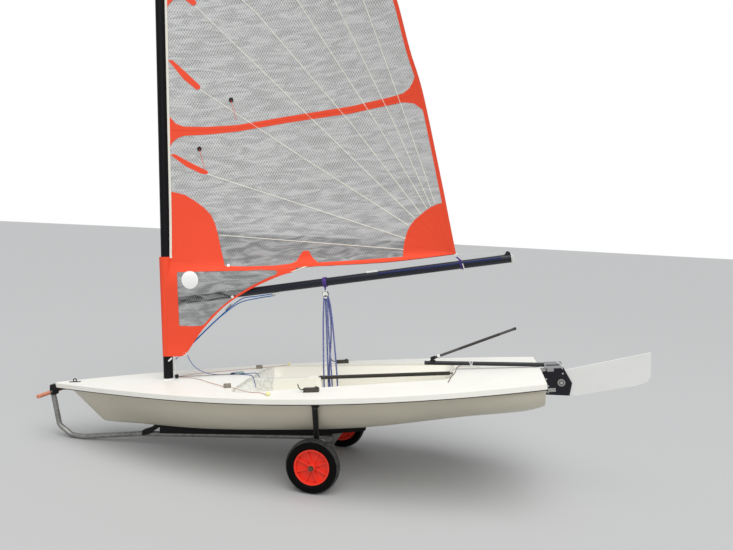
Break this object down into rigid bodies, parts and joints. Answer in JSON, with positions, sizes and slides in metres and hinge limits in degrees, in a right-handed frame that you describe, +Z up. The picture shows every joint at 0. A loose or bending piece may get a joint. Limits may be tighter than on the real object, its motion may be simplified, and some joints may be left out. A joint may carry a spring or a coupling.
{
  "type": "sailing dinghy",
  "caption": "Single-handed sailing dinghy on its launching trolley: decked hull with cockpit, mast, boom and film sail, lifting rudder and tiller.",
  "frame": {"origin": "on the floor, midway between the ends and on the middle line", "axes": "bow towards -X, port towards -Y, +Z up"},
  "size_m": [4.3864, 1.3072, 5.2538],
  "materials": {
    "hull_white": "gloss",
    "deck_white": "satin",
    "liner_cream": "satin",
    "fitting_grey": "satin",
    "spar_black": "gloss",
    "plastic_black": "satin",
    "sail_film": "translucent film",
    "sleeve_cloth": "matte",
    "webbing": "matte",
    "anodised_black": "satin",
    "steel": "satin",
    "blade_white": "gloss",
    "tube_dark": "satin",
    "alloy_silver": "satin",
    "rubber_black": "matte",
    "galvanised": "dull galvanised",
    "grip_orange": "matte",
    "tyre": "matte",
    "rim_red": "satin",
    "rope_blue": "matte"
  },
  "bodies": {
    "hull": {"hull": "hull_white", "deck": "deck_white", "cockpit_liner": "liner_cream", "daggerboard_trunk": "liner_cream", "mast_collar": "fitting_grey", "sheet_block": "plastic_black", "toe_strap": "webbing", "gudgeon_upper": "steel", "gudgeon_lower": "steel", "cam_cleats": "plastic_black", "side_blocks": "plastic_black", "bow_eye": "steel", "trolley_spine": "galvanised", "axle_beam": "galvanised", "handle_bar": "galvanised", "handle_grips": "grip_orange", "bow_chock": "rubber_black", "keel_chock": "rubber_black", "keel_bunk": "rubber_black", "posts": "rubber_black", "post_pads": "rubber_black", "axle_washers": "steel", "axle_clamp": "galvanised", "bunk_brace": "galvanised", "control_line": "rope_blue", "control_tail": "rope_blue"},
    "rig": {"mast_lower": "spar_black", "mast_upper": "spar_black", "mast_cap": "plastic_black", "boom": "spar_black", "boom_end_cap": "plastic_black", "gooseneck": "plastic_black", "sail": "sail_film", "sail_sleeve": "sleeve_cloth", "boom_block": "plastic_black"},
    "rudder": {"rudder_stock": "anodised_black", "tiller": "tube_dark", "tiller_socket": "alloy_silver", "extension_base": "rubber_black"},
    "blade": {"rudder_blade": "blade_white"},
    "extension": {"tiller_extension": "tube_dark"},
    "wheel_port": {"tyre_port": "tyre", "wheel_rim_port": "rim_red"},
    "wheel_starboard": {"tyre_starboard": "tyre", "wheel_rim_starboard": "rim_red"}
  },
  "joints": [
    {"name": "wheel_spin_port", "type": "hinge", "parent": "hull", "child": "wheel_port", "pos_m": [0.04426, -0.475, 0.178], "axis": [0, 1, 0], "continuous": true},
    {"name": "wheel_spin_starboard", "type": "hinge", "parent": "hull", "child": "wheel_starboard", "pos_m": [0.04426, 0.475, 0.178], "axis": [0, 1, 0], "continuous": true},
    {"name": "rig_turn", "type": "hinge", "parent": "hull", "child": "rig", "pos_m": [-1.21572, 0, 0.53791], "axis": [-0.0602, 0, 0.9982], "range_deg": [-80, 80]},
    {"name": "rudder_steer", "type": "hinge", "parent": "hull", "child": "rudder", "pos_m": [1.52115, 0, 0.84615], "axis": [-0.1227, 0, 0.9924], "range_deg": [-55, 55]},
    {"name": "blade_lift", "type": "hinge", "parent": "rudder", "child": "blade", "pos_m": [1.62623, 0, 0.77047], "axis": [0, 1, 0], "range_deg": [0, 85]},
    {"name": "extension_swing", "type": "hinge", "parent": "rudder", "child": "extension", "pos_m": [0.74991, 0, 0.85758], "axis": [-0.1227, 0, 0.9924], "range_deg": [-100, 100]}
  ]
}
